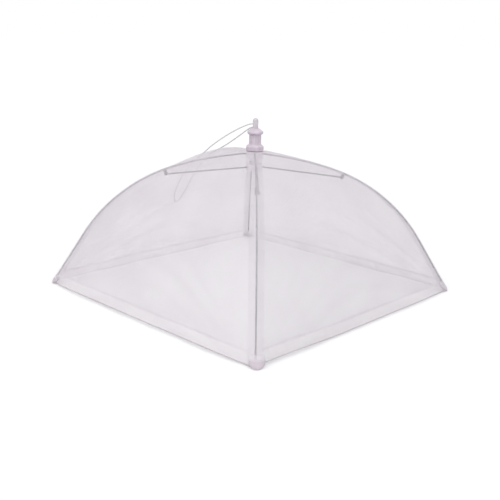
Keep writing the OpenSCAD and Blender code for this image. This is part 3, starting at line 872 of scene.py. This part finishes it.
def seam_tape(corner):
    """A net sleeve over a corner's rib, with a row of stitches along each edge"""
    start, end = tape_ends()

    def place(a, b):
        far = start + b * (end - start)
        return tape_point(corner, far, (2 * a - 1) * tape_half(far), TAPE_LIFT)

    def flat(a, b):
        far = start + b * (end - start)
        return (2 * a - 1) * tape_half(far), far

    bm = mapped_grid(*TAPE_GRID, place, flat)
    tape = finished_piece(f"seam_tape_{corner}_sleeve", bm, SLEEVE, outward=True)
    thicken(tape, TAPE_THICK)
    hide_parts(f"seam_tape_{corner}")
    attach(tape, f"rib_{corner}")

    bm = bmesh.new()
    for way in (-1, 1):

        def place_stitch(far):
            off = way * (tape_half(far) - STITCH_INSET)
            point = tape_point(corner, far, off, TAPE_LIFT + TAPE_THICK * STITCH_STAND)
            under = tape_point(corner, far, off, 0)
            return point, (point - under).normalized()

        stitch_row(bm, place_stitch, start + STITCH_STEP, end - STITCH_STEP)
    stitches = finished_piece(f"seam_stitches_{corner}", bm, THREAD)
    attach(stitches, f"rib_{corner}")
    return tape, stitches


# Corner pockets: sewn toes that wrap the rib ends, shut at the top round the wire
# The profile gives a height, and the share of the full width there
POCKET_PROFILE = (
    (0, 0), (0, 0.2), (0.0002, 0.38), (0.0008, 0.53), (0.0016, 0.68), (0.0026, 0.83), (0.004, 0.94),
    (0.0058, 0.99), (TOE_HEIGHT, 1), (0.0096, 1), (0.011, 0.99), (0.012, 0.965), (0.0127, 0.91),
    (0.0131, 0.8), (0.0132, 0.6), (0.0133, 0.3), (POCKET_HEIGHT, 0),
)
PROFILE_LAST = len(POCKET_PROFILE) - 1


def rounded(value):
    """A sine or cosine, drawn out so that a circle becomes squarer"""
    return math.copysign(abs(value) ** POCKET_SQUARENESS, value)


def corner_pocket(corner):
    """A corner's pocket, with two rows of stitches where its toe meets its cuff"""
    turn = about_z(CORNERS[corner])
    up_leg = Vector((-leg_way[0], 0, -leg_way[1]))
    across = Vector((0, 1, 0))
    out = across.cross(up_leg)
    foot = Vector((foot_at[0] + POCKET_SHIFT[corner][0], POCKET_SHIFT[corner][1], 0))

    def at(angle, height, scale):
        off = scale * POCKET_HALF_WIDTH * rounded(math.sin(angle))
        wrap = POCKET_WRAP * (math.hypot(off, POCKET_WRAP_RADIUS) - POCKET_WRAP_RADIUS)
        depth = scale * POCKET_HALF_DEPTH * rounded(math.cos(angle)) - wrap
        spoke = out * depth + across * off
        point = foot + spoke + up_leg * (height - spoke.z) / up_leg.z
        crease = noise.noise(point * CREASE_SCALE + Vector((CORNERS[corner], 0, 0)))
        crease *= CREASE_DEPTH * smooth_step(height / CREASE_START)
        return turn @ (point + spoke.normalized() * crease)

    def place(a, b):
        height, scale = POCKET_PROFILE[round(b * PROFILE_LAST)]
        return at(2 * math.pi * a, height, scale)

    walked = [0.0]
    for (low, narrow), (high, wide) in zip(POCKET_PROFILE, POCKET_PROFILE[1:]):
        walked.append(walked[-1] + math.hypot(high - low, (wide - narrow) * POCKET_HALF_WIDTH))

    def flat(a, b):
        return a * POCKET_GIRTH, walked[round(b * PROFILE_LAST)]

    bm = mapped_grid(POCKET_SIDES, PROFILE_LAST, place, flat, closed=True)
    for face in bm.faces:
        face.material_index = int(face.calc_center_median().z > TOE_HEIGHT)
    pocket = finished_piece(f"corner_pocket_{corner}_sewn", bm, TOE_CLOTH, outward=True)
    pocket.data.materials.append(CUFF_CLOTH)
    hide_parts(f"corner_pocket_{corner}")
    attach(pocket, f"rib_{corner}")

    bm = bmesh.new()
    for height in TOE_STITCHES:

        def place_stitch(round_toe):
            angle = 2 * math.pi * round_toe / POCKET_GIRTH
            point = at(angle, height, TOE_STITCH_SCALE)
            return point, (point - at(angle, height, TOE_STITCH_ROOT)).normalized()

        stitch_row(bm, place_stitch, 0, POCKET_GIRTH)
    stitches = finished_piece(f"pocket_stitches_{corner}", bm, THREAD)
    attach(stitches, f"rib_{corner}")
    return pocket, stitches


for corner in CORNERS:
    tape, stitches = seam_tape(corner)
    pocket, pocket_stitches = corner_pocket(corner)
    walk = np.linspace(*tape_ends(), TAPE_GRID[1] + 1)
    length = line_length([tape_point(corner, far, 0, TAPE_LIFT) for far in walk])


# Grip
def filleted(corners):
    """The outline through corners of (radius, height, fillet), with each fillet as an arc"""
    line = []
    for i, corner in enumerate(corners):
        at = Vector(corner[:2])
        fillet = corner[2]
        if fillet == 0:
            line.append(at)
            continue
        before = (Vector(corners[i - 1][:2]) - at).normalized()
        after = (Vector(corners[(i + 1) % len(corners)][:2]) - at).normalized()
        half = math.acos(max(-1, min(1, before.dot(after)))) / 2
        centre = at + (before + after).normalized() * fillet / math.sin(half)
        first = at + before * fillet / math.tan(half) - centre
        last = at + after * fillet / math.tan(half) - centre
        start = math.atan2(first.y, first.x)
        sweep = (math.atan2(last.y, last.x) - start + math.pi) % (2 * math.pi) - math.pi
        for k in range(FILLET_STEPS + 1):
            angle = start + sweep * k / FILLET_STEPS
            line.append(centre + fillet * Vector((math.cos(angle), math.sin(angle))))
    return line


def put_in_order(bm):
    """Sorts edges and faces by their corners, because a spin's own order changes from run to run"""
    bm.verts.index_update()

    def rank(part):
        corners = [corner.index for corner in part.verts]
        return min(corners) * len(bm.verts) + max(corners)

    bm.edges.sort(key=rank)
    bm.faces.sort(key=rank)


def spun(outline, steps):
    """A closed outline of (radius, height) turned round Z"""
    bm = bmesh.new()
    ring = [bm.verts.new((point.x, 0, point.y)) for point in outline]
    edges = [bm.edges.new((a, b)) for a, b in zip(ring, ring[1:] + ring[:1])]
    bmesh.ops.spin(
        bm,
        geom=ring + edges,
        cent=(0, 0, 0),
        axis=(0, 0, 1),
        angle=2 * math.pi,
        steps=steps,
        use_merge=True,
    )
    bmesh.ops.remove_doubles(bm, verts=bm.verts, dist=MERGE_REACH)
    put_in_order(bm)
    return bm


def cut_slot(bm, bottom):
    """Cuts the cord's slot down the grip's back, and closes its walls and its floor"""
    half = SLOT_WIDTH / 2
    planes = (
        ((0, half, 0), (0, 1, 0), COLLAR_RADIUS),
        ((0, -half, 0), (0, 1, 0), COLLAR_RADIUS),
        ((0, 0, bottom), (0, 0, 1), half),
    )
    for place, normal, reach in planes:
        back = [face for face in bm.faces if face.calc_center_median().x < 0]
        back = [face for face in back if abs(face.calc_center_median().y) < reach]
        # Each is listed once, in a fixed order
        parts = dict.fromkeys(part for face in back for part in (face, *face.edges, *face.verts))
        bmesh.ops.bisect_plane(bm, geom=list(parts), dist=CUT_REACH, plane_co=place, plane_no=normal)
    middles = {face: face.calc_center_median() for face in bm.faces}
    cut = [face for face, at in middles.items() if at.x < 0 and abs(at.y) < half and at.z > bottom]
    bmesh.ops.delete(bm, geom=cut, context="FACES")

    def rim(test):
        return [edge for edge in bm.edges if edge.is_boundary and all(test(end.co) for end in edge.verts)]

    near = 1e-6
    floor = rim(lambda at: abs(at.z - bottom) < near)
    for way in (1, -1):
        wall = rim(lambda at: abs(at.y - way * half) < near)
        feet = dict.fromkeys(end for edge in wall for end in edge.verts if abs(end.co.z - bottom) < near)
        sill = bm.edges.new(list(feet))
        floor.append(sill)
        bmesh.ops.contextual_create(bm, geom=wall + [sill])
    bmesh.ops.contextual_create(bm, geom=floor)


def grip():
    """The grip's moulding: stem, collar, fluted neck, flange and cone, with the cord's slot"""
    low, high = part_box("grip")
    bottom, top = low.z, high.z
    rim = top - CONE_HEIGHT
    flange = rim - FLANGE_HEIGHT
    neck = flange - NECK_HEIGHT
    collar = neck - COLLAR_HEIGHT
    neck_rows = [(NECK_RADIUS, neck + NECK_HEIGHT * k / NECK_ROWS, 0) for k in range(1, NECK_ROWS)]
    outline = filleted([
        (GRIP_BORE, bottom, 0),
        (STEM_RADIUS, bottom, STEM_FILLET),
        (STEM_RADIUS, collar, 0),
        (COLLAR_RADIUS, collar, COLLAR_FOOT_FILLET),
        (COLLAR_RADIUS, neck - COLLAR_BEVEL, COLLAR_EDGE_FILLET),
        (COLLAR_RADIUS - COLLAR_BEVEL, neck, COLLAR_TOP_FILLET),
        (NECK_RADIUS, neck, NECK_FOOT_FILLET),
        *neck_rows,
        (NECK_RADIUS, flange, NECK_TOP_FILLET),
        (FLANGE_RADIUS - FLANGE_EDGE, flange + FLANGE_DISH, FLANGE_FOOT_FILLET),
        (FLANGE_RADIUS, flange + FLANGE_EDGE, FLANGE_EDGE_FILLET),
        (FLANGE_RADIUS, rim - FLANGE_EDGE, FLANGE_EDGE_FILLET),
        (FLANGE_RADIUS - FLANGE_EDGE, rim, FLANGE_TOP_FILLET),
        (CONE_RADIUS, top, CONE_FILLET),
        (GRIP_BORE, top, BORE_FILLET),
    ])
    bm = spun(outline, FLUTES * FLUTE_STEPS)
    near = 1e-5
    for vertex in bm.verts:
        radius = math.hypot(vertex.co.x, vertex.co.y)
        if not (neck < vertex.co.z < flange and abs(radius - NECK_RADIUS) < near):
            continue
        ends = min(vertex.co.z - neck, flange - vertex.co.z) / FLUTE_FADE
        turn = math.atan2(vertex.co.y, vertex.co.x) - FLUTE_TURN
        wave = 0.5 + 0.5 * math.cos(FLUTES * turn)
        inward = 1 - FLUTE_DEPTH * wave**FLUTE_SHARPNESS * smooth_step(ends) / radius
        vertex.co.x *= inward
        vertex.co.y *= inward
    cut_slot(bm, top - SLOT_DEPTH)
    piece = finished_piece("grip_moulding", bm, LILAC, GRIP_SHARP, outward=True)
    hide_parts("grip")
    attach(piece, "crown")


grip()


# Cord inside, and its knot under the runner
def inner_cord():
    """Two strands that stretch from the runner to the button's holes"""
    low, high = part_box("inner_cord")
    for name, x, top in (("long", high.x / 2, high.z), ("short", low.x / 2, high.z - STRAND_DROP)):
        rise = (top - low.z) / STRAND_STEPS
        line = [Vector((x, 0, low.z + rise * k)) for k in range(STRAND_STEPS + 1)]
        bm = tube(line, CORD_DIAMETER / 2, STRAND_SIDES)
        strand = finished_piece(f"inner_cord_{name}", bm, CORD, CORD_SHARP, outward=True)
        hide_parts("inner_cord")
        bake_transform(strand)


inner_cord()


def runner_knot():
    """The knot, as one closed trefoil of cord"""
    low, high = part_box("runner_knot")
    centre = (low + high) / 2
    size = (high.x - low.x) / 2
    line = []
    for k in range(KNOT_STEPS + 1):
        turn = 2 * math.pi * k / KNOT_STEPS
        line.append(centre + size * Vector((
            KNOT_SPREAD * (math.sin(turn) + KNOT_LOOPS * math.sin(2 * turn)),
            KNOT_SPREAD * (math.cos(turn) - KNOT_LOOPS * math.cos(2 * turn)),
            -KNOT_RISE * math.sin(3 * turn) - KNOT_DROP,
        )))
    bm = tube(line, CORD_DIAMETER / 2, CORD_SIDES)
    bmesh.ops.remove_doubles(bm, verts=bm.verts, dist=KNOT_MERGE)
    knot = finished_piece("runner_knot_tied", bm, CORD, CORD_SHARP, outward=True)
    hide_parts("runner_knot")
    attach(knot, "runner")


runner_knot()


# Finishes of the rigid pieces that the frame already holds
FINISHES = {
    "rib_hub": PALE_LILAC,
    "runner": PALE_LILAC,
    "push_rod": BUTTON,
    "rib_hinge_pins": PIN,
    "runner_pins": PIN,
}
for corner in CORNERS:
    FINISHES[f"rib_{corner}"] = WIRE
    FINISHES[f"stretcher_{corner}"] = WIRE
    FINISHES[f"clip_{corner}"] = CLIP
    FINISHES[f"rivet_{corner}"] = CLIP
    FINISHES[f"end_cap_{corner}"] = LILAC
for node, material in FINISHES.items():
    slots = frame["nodes"][node].data.materials
    slots.clear()
    slots.append(material)


# Stage: a white floor and sky that the camera and reflections see, and soft light from above
def seen_directly(tree):
    """1 for what the camera sees, straight on, mirrored or through glass, and 0 for light on the object"""
    path = add_node(tree, "ShaderNodeLightPath").outputs
    seen = math_node(tree, "MAXIMUM", path["Is Camera Ray"], path["Is Glossy Ray"])
    return math_node(tree, "MAXIMUM", seen, path["Is Transmission Ray"])


def white_floor():
    """A floor that is white where it is seen, and keeps the cover's shadow"""
    bm = bmesh.new()
    bmesh.ops.create_grid(bm, x_segments=8, y_segments=8, size=FLOOR_REACH)
    mesh = bpy.data.meshes.new("floor")
    bm.to_mesh(mesh)
    bm.free()
    floor = bpy.data.objects.new("floor", mesh)
    floor.location.z = -FLOOR_DROP
    scene.collection.objects.link(floor)
    material = bpy.data.materials.new("white_floor")
    material.use_nodes = True
    tree = material.node_tree
    tree.nodes.clear()
    plain = add_node(tree, "ShaderNodeBsdfDiffuse", {"Color": grey(FLOOR_GREY)}).outputs[0]
    shaded = add_node(tree, "ShaderNodeBsdfDiffuse", {"Color": grey(FLOOR_SEEN_GREY)}).outputs[0]
    glow = add_node(tree, "ShaderNodeEmission", {"Color": grey(1), "Strength": FLOOR_GLOW}).outputs[0]
    bright = add_node(tree, "ShaderNodeAddShader", {0: shaded, 1: glow}).outputs[0]
    shares = {0: seen_directly(tree), 1: plain, 2: bright}
    mix = add_node(tree, "ShaderNodeMixShader", shares).outputs[0]
    add_node(tree, "ShaderNodeOutputMaterial", {"Surface": mix})
    mesh.materials.append(material)


def white_world():
    """A sky that lights the cover softly, and is plain white where it is seen"""
    world = bpy.data.worlds.new("white_world")
    scene.world = world
    world.use_nodes = True
    tree = world.node_tree
    tree.nodes.clear()
    light = add_node(tree, "ShaderNodeBackground", {"Color": SKY_TINT, "Strength": SKY_LIGHT})
    white = add_node(tree, "ShaderNodeBackground", {"Color": grey(1), "Strength": 1.0})
    shares = {0: seen_directly(tree), 1: light.outputs[0], 2: white.outputs[0]}
    mix = add_node(tree, "ShaderNodeMixShader", shares).outputs[0]
    add_node(tree, "ShaderNodeOutputWorld", {"Surface": mix})


def soft_lamp(name, place, strength, tint):
    """A broad, even light that comes from a place's direction, the same all over the floor"""
    lamp = bpy.data.lights.new(name, "SUN")
    lamp.energy = strength
    lamp.angle = LAMP_SPREAD
    lamp.color = tint
    source = bpy.data.objects.new(name, lamp)
    source.location = place
    source.rotation_euler = Vector(place).to_track_quat("Z", "Y").to_euler()
    scene.collection.objects.link(source)


white_floor()
white_world()
for name, (place, strength, tint) in LAMPS.items():
    soft_lamp(name, place, strength, tint)

scene.view_settings.view_transform = "Standard"
scene.cycles.transparent_max_bounces = NET_FACES_SEEN_THROUGH
